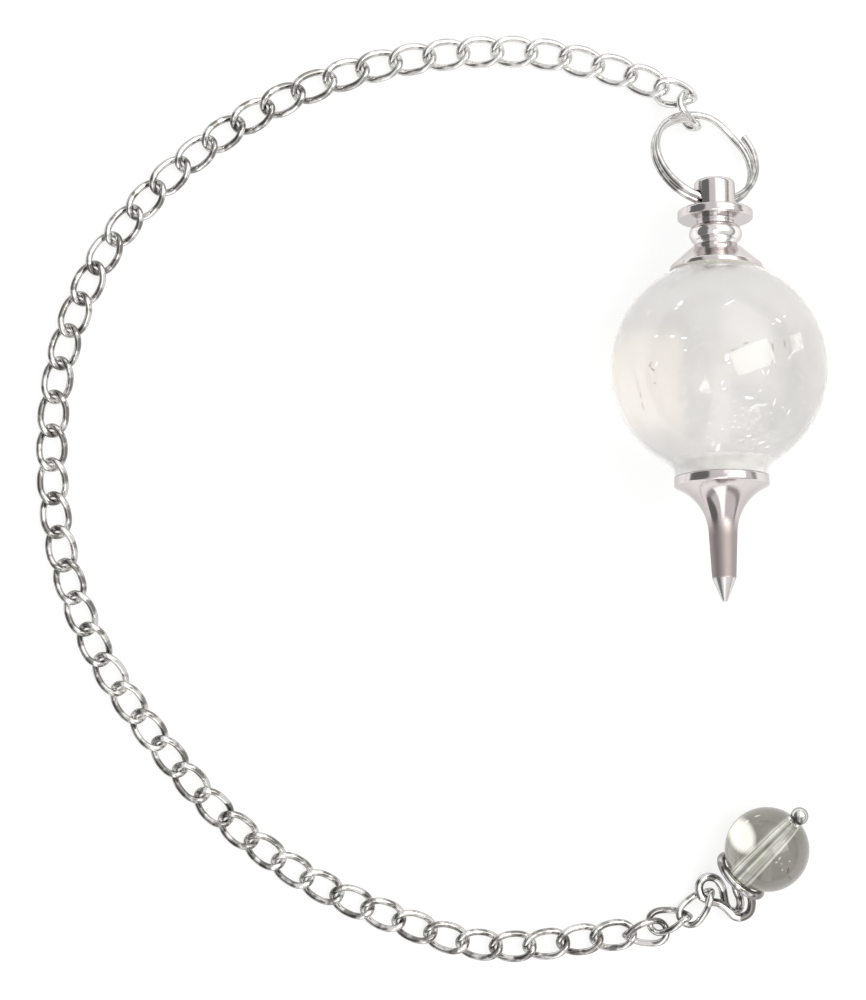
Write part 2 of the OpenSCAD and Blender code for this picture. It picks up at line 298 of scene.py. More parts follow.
# %% [markdown]
# ## Surfaces from grids
#
# Every piece here is smooth and round, so each is a grid of points: a shape worked out from two
# parameters, or a round section carried along a path. Numpy works out all points at once. What
# follows turns a grid into a mesh: four-sided faces between neighbours, joined up where the grid
# closes on itself, and welded at the poles where a whole row falls on one point.

# %% Grids to meshes
SHARP = math.radians(38)
WELD = 1e-7


def corner_index(rows, cols, looped):
    """Row and column of the four corners of each face between neighbours of a grid. Its columns
    go all round, and so do the rows of a looped one."""
    i, j = np.meshgrid(np.arange(rows if looped else rows - 1), np.arange(cols), indexing="ij")
    i, j = i.reshape(-1, 1), j.reshape(-1, 1)
    return i + np.array([[0, 1, 1, 0]]), j + np.array([[0, 0, 1, 1]])


def piece_from(name, grid, material, stands_for=(), looped=False):
    """A mesh object from a grid of points in millimetres, rows x cols x 3, or from such grids of
    several copies. The UV map's u is the share round a section and its v the distance along, in
    millimetres, both measured on the first copy."""
    grid = grid if grid.ndim == 4 else grid[None]
    copies, rows, cols = grid.shape[:3]
    i, j = corner_index(rows, cols, looped)
    face = (i % rows) * cols + j % cols
    corners = (face + rows * cols * np.arange(copies)[:, None, None]).reshape(-1, 4)
    runs = [np.vstack([run, run[:1]]) for run in (grid[0].mean(axis=1), grid[0][:, 0])]
    steps = [np.linalg.norm(np.diff(run, axis=0), axis=1) for run in runs]
    along = np.r_[0, np.cumsum(np.maximum(*steps))]
    maps = np.tile(np.stack([j / cols, along[i]], axis=-1), (copies, 1, 1))
    points = grid.reshape(-1, 3) * MM
    a, b, c, d = (points[corners[:, k]] for k in range(4))
    volume = (np.cross(a, b) * c + np.cross(a, c) * d).sum() / 6
    if volume < 0:
        corners, maps = corners[:, ::-1], maps[:, ::-1]
    mesh = bpy.data.meshes.new(name)
    mesh.vertices.add(len(points))
    mesh.vertices.foreach_set("co", points.ravel())
    mesh.loops.add(corners.size)
    mesh.loops.foreach_set("vertex_index", corners.ravel())
    mesh.polygons.add(len(corners))
    mesh.polygons.foreach_set("loop_start", np.arange(0, corners.size, 4))
    mesh.update(calc_edges=True)
    mesh.uv_layers.new(name="along").data.foreach_set("uv", maps.reshape(-1, 2).ravel())
    welded = bmesh.new()
    welded.from_mesh(mesh)
    bmesh.ops.remove_doubles(welded, verts=welded.verts, dist=WELD)
    open_edges = sum(1 for e in welded.edges if not e.is_manifold)
    welded.to_mesh(mesh)
    welded.free()
    mesh.shade_smooth()
    mesh.set_sharp_from_angle(angle=SHARP)
    mesh.materials.append(material)
    piece = bpy.data.objects.new(name, mesh)
    bpy.context.scene.collection.objects.link(piece)
    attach(piece, "root")
    if stands_for:
        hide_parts(*stands_for)
    size = abs(volume) / MM**3
    print(f"{name}: {len(mesh.polygons)} faces, {size:.1f} mm3, {open_edges} open edges")
    return piece


# %% [markdown]
# ## Paths and frames
#
# A wire follows a path. The path is a Catmull-Rom curve, the simplest curve that goes through all
# its knots. A round section needs two directions across the path at every station. We carry one
# such direction on from station to station and level it each time, so that the mesh of the wire
# doesn't twist, and get the other by a cross product.

# %% Curves
def unit(v):
    """v, or each row of it, at length 1."""
    return v / np.linalg.norm(v, axis=-1, keepdims=True)


def smooth(t):
    """0 to 1 with level ends: 3u^2 - 2u^3, where u is t held between 0 and 1."""
    u = np.clip(t, 0, 1)
    return u * u * (3 - 2 * u)


def spline(knots, steps):
    """A Catmull-Rom curve through the knots, whose two ends are mirrored to start and stop it.
    Between knots b and c, with a before and d after them, the point at share t is half of
    2b + (c - a) t + (2a - 5b + 4c - d) t^2 + (3b - a - 3c + d) t^3."""
    p = np.asarray(knots, float)
    q = np.vstack([2 * p[0] - p[1], p, 2 * p[-1] - p[-2]])
    a, b, c, d = (q[k:len(q) - 3 + k, None] for k in range(4))
    t = (np.arange(steps) / steps)[None, :, None]
    run = 2 * b + (c - a) * t + (2 * a - 5 * b + 4 * c - d) * t**2 + (3 * b - a - 3 * c + d) * t**3
    return np.vstack([run.reshape(-1, p.shape[1]) / 2, p[-1:]])


def lengths(path):
    """Distance along a path at each of its points."""
    return np.r_[0, np.cumsum(np.linalg.norm(np.diff(path, axis=0), axis=1))]


def at_lengths(path, s):
    """The points at the distances s along a path."""
    along = lengths(path)
    return np.stack([np.interp(s, along, path[:, k]) for k in range(path.shape[1])], axis=1)


# %% [markdown]
# The wire itself is a grid with a station for each point of the path and a column for each angle
# round it. Its radius may change on the way: the split ring's ends are rounded off, and the pin
# swells into its ball head.

# %% Wires
def wire(path, radius, sides):
    """The grid of a round wire: at each station the path's point plus its radius times
    cos(a) n + sin(a) t x n, for angles a all round, with t the path's direction there and n the
    direction across it that is carried along."""
    t = unit(np.gradient(path, axis=0))
    n = np.empty_like(t)
    n[0] = unit(np.cross(t[0], [0.3, 0.2, 1.0]))
    for k in range(1, len(t)):
        n[k] = unit(n[k - 1] - (n[k - 1] @ t[k]) * t[k])
    a = np.linspace(0, 2 * np.pi, sides, endpoint=False)[:, None]
    across = np.cos(a) * n[:, None] + np.sin(a) * np.cross(t, n)[:, None]
    return path[:, None] + np.asarray(radius)[:, None, None] * across


def rounded_ends(s, radius, end):
    """A wire's radius along it, drawn in to nothing over the last end of each side, as a
    quarter ellipse: radius times sqrt(1 - u^2), with u from 1 at the tip to 0."""
    u = np.clip(1 - np.minimum(s, s[-1] - s) / end, 0, 1)
    return radius * np.sqrt(1 - u * u)


# %% [markdown]
# ## Sizes and places
#
# The numbers are the CAD source's, in millimetres, because a scene can't read that file. The
# source counts from the floor under the chain's hook on the ring, and the frame from the middle of
# everything. The ball's box in the frame gives the way from one to the other.
#
# Four sizes are shown other than they are. The bead's bore is wider, because the real stone
# enlarges it more than the render does. The links' wire is a little thicker and the end of the
# point a little blunter, as they look in the photograph, and the stem's hole is a little smaller,
# because the CAD model leaves room in it.

# %% Sizes
BALL_R = 10.0
SEAT_R = BALL_R + 0.05
RIM_R = 4.35
COLLAR_R, COLLAR_ROUND, NECK_R = 2.46, 0.9, 1.75
WAIST_R, FLANGE_R, FLANGE_ROUND = 2.05, 3.5, 0.25
STEM_R, STEM_ROUND = 1.88, 0.45
RING_R, RING_WIRE, RING_GAP = 4.93, 0.66, 0.04
LINK_L, LINK_W, LINK_WIRE, LINK_TWIST = 4.6, 3.0, 0.6, 90.0
BEAD_R, PIN_WIRE, PIN_HEAD = 4.0, 0.8, 1.7
PIN_PLAY, BORE_SHOWN = 0.1, 0.70
LINK_SHOWN, HOLE_SHOWN, END_SHOWN = 0.63, 1.72, 0.48
CURVE_W, CURVE_L = 54.9, 82.9
HOOK_HEIGHT = 1.49


def turn(degrees):
    """cos and sin of an angle in degrees."""
    return math.cos(math.radians(degrees)), math.sin(math.radians(degrees))


# %% [markdown]
# The ring leans from the stem down to the table. Its plane needs two directions: ring_x lies level
# across the ring, and ring_y leans down towards the stem. An angle s then names a place on it.

# %% The ring's plane
RING_HEADING, RING_LEAN, HOOK_ANGLE, HOLE_ANGLE = 58.9, 39.8, 126.0, -55.7
(ch, sh), (cl, sl) = turn(RING_HEADING), turn(RING_LEAN)
ring_x = np.array([sh, -ch, 0])
ring_y = np.array([cl * ch, cl * sh, -sl])
ring_n = np.cross(ring_x, ring_y)


def ring_way(s):
    """Direction from the ring's centre at angle s, in degrees."""
    a = np.radians(np.asarray(s, float))[..., None]
    return np.cos(a) * ring_x + np.sin(a) * ring_y


ring_c = np.array([0, 0, HOOK_HEIGHT]) - RING_R * ring_way(HOOK_ANGLE)

# %% [markdown]
# The pendulum hangs by its stem hole on the ring and its ball rests on the table, which gives its
# tilt: its sine is the drop from the ball's middle to the hole over the way between them.

# %% Where the pendulum lies
CAP_SEAT = math.sqrt(BALL_R**2 - RIM_R**2)
BAND_TOP = CAP_SEAT + 0.6
WAIST_AT = BAND_TOP + 1.95
COLLAR_MID = WAIST_AT + 0.2 + COLLAR_ROUND
FLANGE_FROM = COLLAR_MID + 1.35
FLANGE_TO = FLANGE_FROM + 0.9
STEM_TOP = FLANGE_TO + 2.9
HOLE_AT = FLANGE_TO + 1.05
RING_AT = HOLE_AT - 0.15
LIE_HEADING = 0.5
rest = ring_c + RING_R * ring_way(HOLE_ANGLE)
lie_tilt = math.degrees(math.asin((BALL_R - rest[2]) / RING_AT))
(ct, st), (cy, sy) = turn(lie_tilt), turn(LIE_HEADING)
axis_up = np.array([-sy * ct, cy * ct, -st])
axis_side = np.array([cy, sy, 0])
ball_c = rest - RING_AT * axis_up

ball_low, ball_high = (np.array(corner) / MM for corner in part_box("crystal_ball"))
shift = np.round((ball_low + ball_high) / 2 - ball_c, 3)
ball_c, ring_c = ball_c + shift, ring_c + shift
print("tilt", round(lie_tilt, 2), "ball", np.round(ball_c, 3), "ring", np.round(ring_c, 3))


def on_axis(grid, middle=ball_c, along=axis_up, side=axis_side):
    """Carries points from a piece's own axes to its place: x goes to side, z to along, and y to
    the direction square to both, from the middle. It is the pendulum's place if none is given."""
    axes = np.stack([side, np.cross(along, side), along])
    return middle + grid @ axes


# %% [markdown]
# ## Silver
#
# The caps are brass, turned on a lathe, polished and plated. Plate keeps the fine rings that the
# tool left, which spread each highlight a little across the turning. The tint is a warm grey with
# a touch of pink, and clouds over in handled places, so both the colour and the roughness follow a
# soft noise. Four zones differ, each a mask on the distance along the pendulum's axis. The flare
# of the point is pinker, its straight shank is worn dull, and its short tip is bare and pale. The
# recess between rim and flange is painted lighter, a painted light against the shade that its
# surfaces throw on each other. Last, the tint darkens at a glancing angle, a painted shade along
# the outline in place of dark edge reflections, so that the mirror keeps its outline on white.

# %% Silver of the turned caps
silver_cap, start = new_material("silver_cap")
TIP_FROM = 19.35
place = coordinates(start)
handled = noise(place, 0.35, detail=4)
down = coordinates(start, "UV").parts([1])[0]
rings = lines(down, 9.0)
tint = blend(step(handled, 0.35, 0.7), (0.76, 0.715, 0.71), (0.68, 0.635, 0.63))
to_point = place.node(
    "ShaderNodeVectorMath", {"operation": "DOT_PRODUCT"}, {0: place, 1: tuple(-axis_up)}, take=1
)
to_point = to_point / MM + float(ball_c @ axis_up)
to_stem = -1 * to_point
tip = step(to_point, TIP_FROM, TIP_FROM + 0.25)
flare = step(to_point, 10.9, 12.4) * (1 - tip)
tint = blend(0.7 * flare, tint, (0.64, 0.585, 0.58))
# painted light: the recess between rim and flange is painted lighter, against the shade there
painted_recess_light = step(to_stem, 9.4, 9.8) * (1 - step(to_stem, 13.8, 14.0))
tint = blend(0.85 * painted_recess_light, tint, (0.92, 0.90, 0.895))
tint = blend(0.9 * tip, tint, (0.76, 0.735, 0.73))
# painted shade: the tint darkens towards the outline, more on the flare
painted_outline_shade = step(turned_away(start) + 0.16 * flare, 0.35, 0.85)
tint = blend(0.9 * painted_outline_shade, tint, (0.47, 0.43, 0.425))
worn = step(to_point + handled, 14.0, 16.2) * (1 - tip)
tint = blend(0.95 * worn, tint, (0.40, 0.357, 0.352))
surface(
    start, Base_Color=tint, Metallic=1.0,
    Roughness=0.06 + 0.07 * handled + 0.03 * rings + 0.5 * worn + 0.16 * tip,
    Normal=bumps(rings, 0.25),
)

# %% [markdown]
# The ring, the links and the pin are wire, drawn through a die, so they have no turning marks and
# a harder shine. Each link is handled on all sides and tarnishes in patches smaller than itself,
# which is what makes a chain sparkle: a bright patch lies right beside a dark one. The end by the
# ring is painted lighter, a painted light. As on the caps, a painted shade darkens the outline.

# %% Silver of the drawn wire
silver_wire, start = new_material("silver_wire")
place = coordinates(start)
handled = noise(place, 0.75, detail=3)
specks = noise(place, 4.0, detail=2)
tint = blend(step(handled, 0.43, 0.57), (0.90, 0.89, 0.87), (0.27, 0.262, 0.25))
east, north = (part / MM for part in place.parts())
# painted light: the end by the ring is painted lighter
painted_light_by_ring = step(north, 25.0, 36.0) * step(east, -16.0, 8.0)
tint = blend(0.75 * painted_light_by_ring, tint, (0.95, 0.94, 0.925))
# painted shade: the tint darkens towards the outline, less by the ring
painted_glancing_shade = step(turned_away(start), 0.22, 0.6) * (0.85 - 0.45 * painted_light_by_ring)
tint = blend(painted_glancing_shade, tint, (0.21, 0.20, 0.19))
surface(
    start, Base_Color=tint, Metallic=1.0,
    Roughness=0.02 + 0.05 * handled + 0.02 * specks, Normal=bumps(specks, 0.06),
)
print("silver:", [len(m.node_tree.nodes) for m in (silver_cap, silver_wire)], "nodes")

# %% [markdown]
# ## Quartz
#
# Quartz bends light a little more than window glass, with an index of 1.544. This ball is clear
# but milky, so we don't see through it, and yet its skin is polished. Two layers give that: glass
# with a rough face, which spreads what is behind it to a soft light, under a crisp clear coat that
# shows the window as a sharp patch. The milk is uneven. Slow grey-green clouds and finer wisps are
# noise. A warm painted light fills the left side and glows a little, with a painted grey shade
# under it, and a band of the same painted light runs along the right edge. The stone is painted
# lighter by the top cap and is a little darker in its middle. The outermost edge has a painted
# glow in place of the lit rim of a real ball. East and north in these masks are millimetres on the
# table.

# %% Quartz of the ball
clear_quartz, start = new_material("clear_quartz")
place = coordinates(start)
clouds = noise(place, 0.12, detail=4, roughness=0.6, distortion=0.6)
wisps = noise(place, 0.5, detail=5, roughness=0.65, distortion=1.5)
east, north = (part / MM for part in place.parts())
bend = 1.6 * (clouds - 0.5)
# painted light: a warm lighter zone on the left, standing in for window light seen through the
# stone
painted_light_left = step(23.0 + 1.5 * bend - east, -0.7, 0.7) * step(16.2 + bend - north, -1.0, 1.5)
painted_light_left = painted_light_left * step(north - 6.4 - bend, -1.2, 1.4)
# painted light: a lighter warm band along the right edge
painted_light_right_edge = step(east + 0.5 * bend, 34.2, 35.6)
shade = step(24.5 - east, 0.0, 3.0) * step(9.0 + bend - north, 0.0, 2.5)
tint = blend(step(clouds, 0.38, 0.62), (0.76, 0.755, 0.735), (0.90, 0.885, 0.86))
tint = blend(step(wisps, 0.52, 0.72) * 0.5, tint, (0.96, 0.96, 0.945))
tint = blend(0.85 * painted_light_left + 0.5 * painted_light_right_edge, tint, (1.0, 0.965, 0.93))
tint = blend(0.85 * shade, tint, (0.72, 0.715, 0.71))
# painted light: the stone is painted lighter by the top cap
top_light = step(north, 14.5, 18.5)
tint = blend(0.75 * top_light, tint, (0.95, 0.94, 0.92))
core = 1 - step((east - 26.6) ** 2 + (north - 13.2) ** 2, 1.0, 12.0)
tint = blend(0.4 * core, tint, (0.74, 0.715, 0.69))
# painted glow: the left zone and the outermost edge glow, though no lamp is there
painted_glow = blend(painted_light_left, (0.0, 0.0, 0.0), (0.085, 0.062, 0.046))
painted_glow = blend(step(turned_away(start), 0.72, 0.96), painted_glow, (0.30, 0.29, 0.275))
surface(
    start, Base_Color=tint, Roughness=0.34 + 0.12 * step(wisps, 0.4, 0.8), IOR=1.544,
    Transmission_Weight=0.92, Coat_Weight=1.0, Coat_Roughness=0.015, Coat_IOR=1.544,
    Emission_Color=painted_glow, Emission_Strength=1.0,
)

# %% [markdown]
# The bead is a darker, smoky stone and clear, so it is plain glass with a smoke-coloured tint,
# greener above and pinker at the lower right. One zone near its top is a painted highlight, pale
# and glowing where the render brings no light. A drill leaves the bore frosted, in streaks along
# it, and the bright streaks glow as painted light. The bore is told from the outside by the UV
# map,
# whose v is the way along the section: the outside ends after BEAD_R times
# (pi - 2 asin(BORE_SHOWN / BEAD_R)), and the rest is bore.

# %% Quartz of the bead
smoky_quartz, start = new_material("smoky_quartz")
place = coordinates(start)
round_share, down = coordinates(start, "UV").parts()
BORE_FROM = BEAD_R * (math.pi - 2 * math.asin(BORE_SHOWN / BEAD_R))
bored = step(down, BORE_FROM, BORE_FROM + 0.06)
streaks = lines(round_share, 17.0)
clouds = noise(place, 0.3, detail=3)
east, north, high = (part / MM for part in place.parts((0, 1, 2)))
# painted highlight: a pale zone near the top of the bead
painted_highlight = ((east - 29.62) / 1.05) ** 2 + ((north + 31.05) / 1.36) ** 2 + 0.8 * (clouds - 0.5)
painted_highlight = (1 - step(painted_highlight, 0.35, 1.6)) * step(high, 4.0, 4.5)
smoke = blend(step(clouds, 0.35, 0.65), (0.21, 0.203, 0.165), (0.33, 0.32, 0.288))
pink_side = step(0.766 * (east - 32.2) - 0.643 * (north + 32.7), 0.4, 2.6)
smoke = blend(0.75 * pink_side, smoke, (0.37, 0.333, 0.32))
tint = blend(painted_highlight, smoke, (1.0, 0.99, 0.95))
tint = blend(bored, tint, blend(step(streaks, 0.4, 0.6), (0.80, 0.83, 0.83), (1.0, 1.0, 1.0)))
# painted glow: the highlight zone and the bore's bright streaks glow, though no lamp is there
painted_glow = blend(painted_highlight, (0.0, 0.0, 0.0), (0.52, 0.51, 0.465))
painted_glow = blend(bored, painted_glow, blend(step(streaks, 0.42, 0.6), (0.10, 0.12, 0.12), (0.80, 0.80, 0.78)))
surface(
    start, Base_Color=tint, Roughness=0.01 + 0.02 * clouds + 0.35 * bored, IOR=1.544,
    Transmission_Weight=0.95, Emission_Color=painted_glow, Emission_Strength=1.0,
)
print("the bead's bore starts", round(BORE_FROM, 2), "mm along its section")

# %% [markdown]
# ## The ball
#
# A ball could be an icosphere, but facets show at once in glass. A fine grid of angles is exact in
# every vertex. Its poles, where the grid is crowded, lie on the pendulum's axis under the caps.

# %% Ball
def turned(profile, sides):
    """The grid of a turned piece: each profile point (r, z) goes round the axis as
    (r cos a, r sin a, z)."""
    r, z = np.asarray(profile, float).T
    a = np.linspace(0, 2 * np.pi, sides, endpoint=False)
    flat = np.stack([np.cos(a), np.sin(a)], axis=-1)
    rows = np.zeros((len(r), sides, 3))
    rows[..., :2] = r[:, None, None] * flat
    rows[..., 2] = z[:, None]
    return rows


BALL_ROWS, BALL_COLS = 129, 256
polar = np.linspace(0, np.pi, BALL_ROWS)
polar_profile = np.stack([np.sin(polar), np.cos(polar)], axis=-1)
ball_grid = turned(BALL_R * polar_profile, BALL_COLS)
piece_from(
    "quartz_ball", on_axis(ball_grid), clear_quartz, ["crystal_ball"],
)

# %% [markdown]
# ## The turned caps
#
# Both caps come off a lathe, so a half section turned about the axis is not only the easy way but
# the true one. No tool leaves a knife edge, so each corner of the section is rounded by a short
# curve before it is turned.

# %% Half sections
def arc(centre, r, start_at, stop_at, steps):
    """Points of a circle about the centre, from one angle in degrees to the other."""
    a = np.radians(np.linspace(start_at, stop_at, steps))[:, None]
    return np.asarray(centre) + r * np.hstack([np.cos(a), np.sin(a)])


def eased(profile, reach, steps=5):
    """A section with its corners rounded: each corner P between A and B gives way to the curve
    (1-t)^2 P_a + 2t(1-t) P + t^2 P_b, where P_a and P_b lie on its two sides, reach away or less
    than half of the side."""
    p = np.asarray(profile, float)
    back, on = p[:-2] - p[1:-1], p[2:] - p[1:-1]
    sizes = [np.linalg.norm(v, axis=1, keepdims=True) for v in (back, on)]
    ends = [v / s * np.minimum(reach, 0.45 * s) for v, s in zip((back, on), sizes)]
    t = np.linspace(0, 1, steps)[None, :, None]
    mid = p[1:-1, None]
    before, after = (mid + end[:, None] for end in ends)
    curve = (1 - t) ** 2 * before + 2 * t * (1 - t) * mid + t**2 * after
    return np.vstack([p[:1], curve.reshape(-1, 2), p[-1:]])


# %% [markdown]
# The top cap's section starts on the ball, under its rim. It goes up the cone to the waist, round
# the bead collar, up the neck, round the flange and up the stem, and closes on the axis.

# %% Section of the top cap
rim_angle = math.degrees(math.asin(RIM_R / SEAT_R))
top_profile = np.vstack([
    arc([0, 0], SEAT_R, 90, 90 - rim_angle, 24),
    [[RIM_R - 0.1, BAND_TOP], [WAIST_R + 0.6, WAIST_AT - 0.5], [WAIST_R, WAIST_AT]],
    arc([COLLAR_R - COLLAR_ROUND, COLLAR_MID], COLLAR_ROUND, -60, 80, 24),
    [[NECK_R, COLLAR_MID + COLLAR_ROUND], [NECK_R, FLANGE_FROM]],
    arc([FLANGE_R - FLANGE_ROUND, FLANGE_FROM + FLANGE_ROUND], FLANGE_ROUND, -90, 0, 8),
    arc([FLANGE_R - FLANGE_ROUND, FLANGE_TO - FLANGE_ROUND], FLANGE_ROUND, 0, 90, 8),
    [[STEM_R, FLANGE_TO]],
    arc([STEM_R - STEM_ROUND, STEM_TOP - STEM_ROUND], STEM_ROUND, 0, 90, 12),
    [[0, STEM_TOP]],
])
print("top cap stands", round(STEM_TOP, 2), "mm from the ball's middle")

# %% [markdown]
# The point cap has a flat back that sits on the glue, a short straight rim, and then one hollow
# arc that sweeps in from the rim and runs out level with the shank. The shank narrows a little
# down to a short cone. The arc's start follows from its radius and the two radii it joins.

# %% Section of the point cap
POINT_RIM = CAP_SEAT + 2.0
FLARE_R, SHANK_R = 4.8, 1.3
flare_x = SHANK_R + FLARE_R
FLARE_END = POINT_RIM + math.sqrt(FLARE_R**2 - (flare_x - RIM_R) ** 2)
flare_from = 180 + math.degrees(math.asin((FLARE_END - POINT_RIM) / FLARE_R))
CONE_FROM, CONE_R = 4.0, 1.1
POINT_END = FLARE_END + 6.1
GLUE_TOP = CAP_SEAT + 1.16
point_profile = np.vstack([
    [[0, GLUE_TOP - 0.1], [RIM_R - 0.1, GLUE_TOP], [RIM_R, GLUE_TOP + 0.12]],
    [[RIM_R, POINT_RIM - 0.06]],
    arc([flare_x, FLARE_END], FLARE_R, flare_from - 1.2, 180, 40),
    [[CONE_R, FLARE_END + CONE_FROM], [END_SHOWN / 2, POINT_END], [0, POINT_END]],
])
print("point cap stands", round(POINT_END, 2), "mm from the ball's middle")

# %% [markdown]
# The stem has a cross hole for the ring. Its cutter is a round bar whose ends flare, as a drill
# and a countersink leave it. The grid can't have a hole, so this one is cut by a Boolean, which
# is applied at once, and the sharp edges are found again by their angle. The cap is turned and
# drilled upright, and only then carried to its place.

# %% Caps
CAP_SIDES, TOP_CORNER, POINT_CORNER = 192, 0.09, 0.07
top_cap = piece_from(
    "turned_top_cap", turned(eased(top_profile, TOP_CORNER), CAP_SIDES),
    silver_cap, ["top_cap"],
)
BAR_HALF, BAR_SIDES, HOLE_FLARE, HOLE_HEADING = 3, 64, 0.06, 21
bar_z = np.linspace(-BAR_HALF, BAR_HALF, 61)
bar_r = HOLE_SHOWN / 2 + HOLE_FLARE * smooth((np.abs(bar_z) - 1.5) / 0.5)
bar_profile = np.vstack([[0, -BAR_HALF], np.stack([bar_r, bar_z], axis=-1), [0, BAR_HALF]])
hole_at, hole_way = np.array([0, 0, RING_AT + 0.02]), np.array([*turn(HOLE_HEADING), 0])
bar = on_axis(turned(bar_profile, BAR_SIDES), hole_at, hole_way, np.array([0, 0, 1.0]))
cutter = piece_from("hole_cutter", bar, silver_cap)
cut = top_cap.modifiers.new("hole", "BOOLEAN")
cut.operation, cut.object, cut.solver = "DIFFERENCE", cutter, "EXACT"
bpy.context.view_layer.update()
evaluated = top_cap.evaluated_get(bpy.context.evaluated_depsgraph_get())
drilled = bpy.data.meshes.new_from_object(evaluated)
top_cap.modifiers.clear()
bpy.data.objects.remove(cutter)
co = np.empty(len(drilled.vertices) * 3)
drilled.vertices.foreach_get("co", co)
placed = on_axis(co.reshape(-1, 3), ball_c * MM)
drilled.vertices.foreach_set("co", placed.ravel())
drilled.update()
drilled.shade_smooth()
drilled.set_sharp_from_angle(angle=SHARP)
top_cap.data = drilled
print("top cap drilled:", len(drilled.polygons), "faces")

point_grid = turned(eased(point_profile, POINT_CORNER), CAP_SIDES)
piece_from(
    "turned_point_cap", on_axis(point_grid, along=-axis_up),
    silver_cap, ["point_cap"],
)

# %% [markdown]
# ## Glue
#
# The caps are glued on. Under the point cap the glue is clear and shows as a glassy collar that
# runs from the ball to the cap's flat back, hollow at the side as a wet fillet is. Under the top
# cap it has squeezed out and yellowed, in a thin line with a ragged edge. Both are a closed
# section carried round the axis; for the ragged one, the section's reach over the ball changes
# with the angle by a sum of a few waves.

# %% Glue materials
clear_glue, start = new_material("clear_glue")
place = coordinates(start)
lumps = noise(place, 0.8, detail=3)
tint = blend(step(lumps, 0.4, 0.65), (0.88, 0.875, 0.855), (0.97, 0.965, 0.95))
# painted glow: a small emission makes the clear glue glow a little, though it is no lamp
surface(
    start, Base_Color=tint, Roughness=0.08 + 0.2 * lumps, IOR=1.5, Transmission_Weight=0.7,
    Emission_Color=tint, Emission_Strength=0.09,
)

old_glue, start = new_material("old_glue")
place = coordinates(start)
lumps = noise(place, 2.2, detail=3)
tint = blend(step(lumps, 0.5, 0.62), (0.80, 0.79, 0.70), (0.99, 0.99, 0.97))
surface(start, Base_Color=tint, Roughness=0.25 + 0.3 * lumps, IOR=1.5, Transmission_Weight=0.6)

# %% Glue pieces
GLUE_SIDES = 180
around = np.linspace(0, 2 * np.pi, GLUE_SIDES, endpoint=False)


def carried_round(r, z):
    """Points (r cos a, r sin a, z) of sections whose r and z are given for each angle a."""
    a = around[:, None]
    r, z = np.broadcast_arrays(r, z)
    return np.stack([r * np.cos(a), r * np.sin(a), z * np.ones_like(a)], axis=-1)


under = np.radians(np.linspace(8, 29.6, 16))
fillet = np.vstack([
    (BALL_R + 0.008) * np.stack([np.sin(under), np.cos(under)], axis=-1),
    [[4.66, CAP_SEAT - 0.08], [4.45, CAP_SEAT + 0.15], [4.34, CAP_SEAT + 0.45]],
    [[4.31, CAP_SEAT + 0.8], [4.32, GLUE_TOP], [4.1, GLUE_TOP - 0.03], [1.4, GLUE_TOP - 0.11]],
])
collar = on_axis(carried_round(*fillet.T), along=-axis_up)
piece_from("clear_glue_collar", collar, clear_glue, looped=True)

waves = sum(w * np.sin(n * around + p) for n, w, p in [
    (3, 0.25, 1.0), (7, 0.22, 2.0), (17, 0.16, 0.5), (29, 0.12, 4.0), (47, 0.08, 3.0),
])
t = np.linspace(0, 1, 9)
reach = (2.2 * (1 + waves))[:, None]
over = np.radians(25.9 + reach * np.r_[t, t[-2::-1]])
lift = 0.12 * (1 - t) ** 2 + 0.06 * (1 - t)
from_middle = BALL_R + 0.006 + np.r_[lift, 0 * t[1:]] * (1 + 0.5 * waves[:, None])
squeezed_out = carried_round(from_middle * np.sin(over), from_middle * np.cos(over))
piece_from("ragged_glue_line", on_axis(squeezed_out), old_glue, looped=True)

# %% [markdown]
# ## Flaws in the quartz
#
# Natural quartz is never empty: it has bright specks, short healed cracks, veils and a few dark
# threads, most of them near the surface here. Each one is a thin closed flake. Its outline is a
# polygon with n corners, stretched to a length and a width: at angle a the edge lies
# cos(pi/n) / cos((a mod 2pi/n) - pi/n) from the middle. It is a little thicker in its middle and
# bends with the ball. The largest ones are placed one by one, from where they lie on the stone,
# and a seeded spray of small ones fills the cloudy part.

# %% Flaw grids
FLAKE_STEPS, FLAKE_SIDES, FLAKE_SIZE = 4, 16, 0.75


def flakes(rows, middle, radius):
    """Flakes from rows of x and y from a ball's middle, depth, half length, half width, turn in
    degrees and number of corners, as closed grids under the upper half of the ball."""
    x, y, depth, long, wide, turned_by, corners = np.asarray(rows, float).T[..., None]
    long, wide = FLAKE_SIZE * long, FLAKE_SIZE * wide
    out = np.hstack([x, y, np.sqrt(radius**2 - x**2 - y**2)]) / radius
    way = np.hstack([np.cos(np.radians(turned_by)), np.sin(np.radians(turned_by)), 0 * x])
    u = unit(way - (way * out).sum(-1, keepdims=True) * out)
    v = np.cross(out, u)
    share = np.linspace(0, 1, FLAKE_STEPS + 1)
    share = np.r_[share, share[-2::-1]][None, :, None]
    side = np.r_[np.ones(FLAKE_STEPS + 1), -np.ones(FLAKE_STEPS)][None, :, None]
    a = np.linspace(0, 2 * np.pi, FLAKE_SIDES, endpoint=False)
    part = 2 * np.pi / corners
    edge = (np.cos(part / 2) / np.cos(a % part - part / 2))[:, None]
    along = long[..., None] * share * edge * np.cos(a)
    across = wide[..., None] * share * edge * np.sin(a)
    thick = 0.25 * np.minimum(wide, 0.12)[..., None] * side * (1 - share**2)
    sink = thick - depth[..., None] - (along**2 + across**2) / (2 * radius)
    axes = (axis[:, None, None] for axis in (u, v, out))
    local = sum(w[..., None] * axis for w, axis in zip((along, across, sink), axes))
    return middle + radius * out[:, None, None] + local


